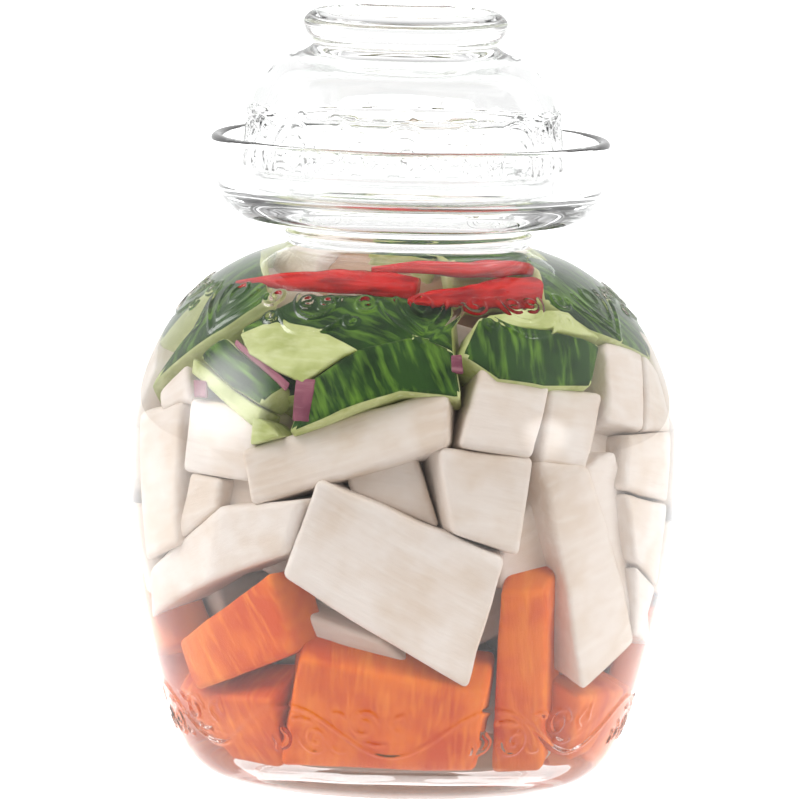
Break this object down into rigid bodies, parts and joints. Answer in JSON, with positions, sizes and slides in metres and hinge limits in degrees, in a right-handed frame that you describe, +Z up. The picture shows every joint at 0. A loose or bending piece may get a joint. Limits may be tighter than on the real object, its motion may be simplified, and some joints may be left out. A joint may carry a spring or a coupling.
{
  "type": "water-seal glass pickle jar",
  "caption": "Round-bellied pressed-glass pickle jar with a water moat round its neck and a domed glass lid, filled with cut vegetables in brine",
  "frame": {"origin": "middle of the underside, on the plane of the standing ring", "axes": "+Z up along the jar's axis of turning, -Y towards the viewer of the picture, +X to that viewer's right"},
  "size_m": [0.1686, 0.1686, 0.237],
  "materials": {
    "jar_glass": "clear pressed glass, faintly green in its thick edges",
    "lid_glass": "clear pressed glass, faintly green in its thick edges",
    "vegetables": "wet cut radish, carrot, cucumber and chilli under brine"
  },
  "bodies": {
    "root": {"glass_jar": "jar_glass", "glass_lid": "lid_glass", "vegetable_heap": "vegetables"}
  },
  "joints": []
}
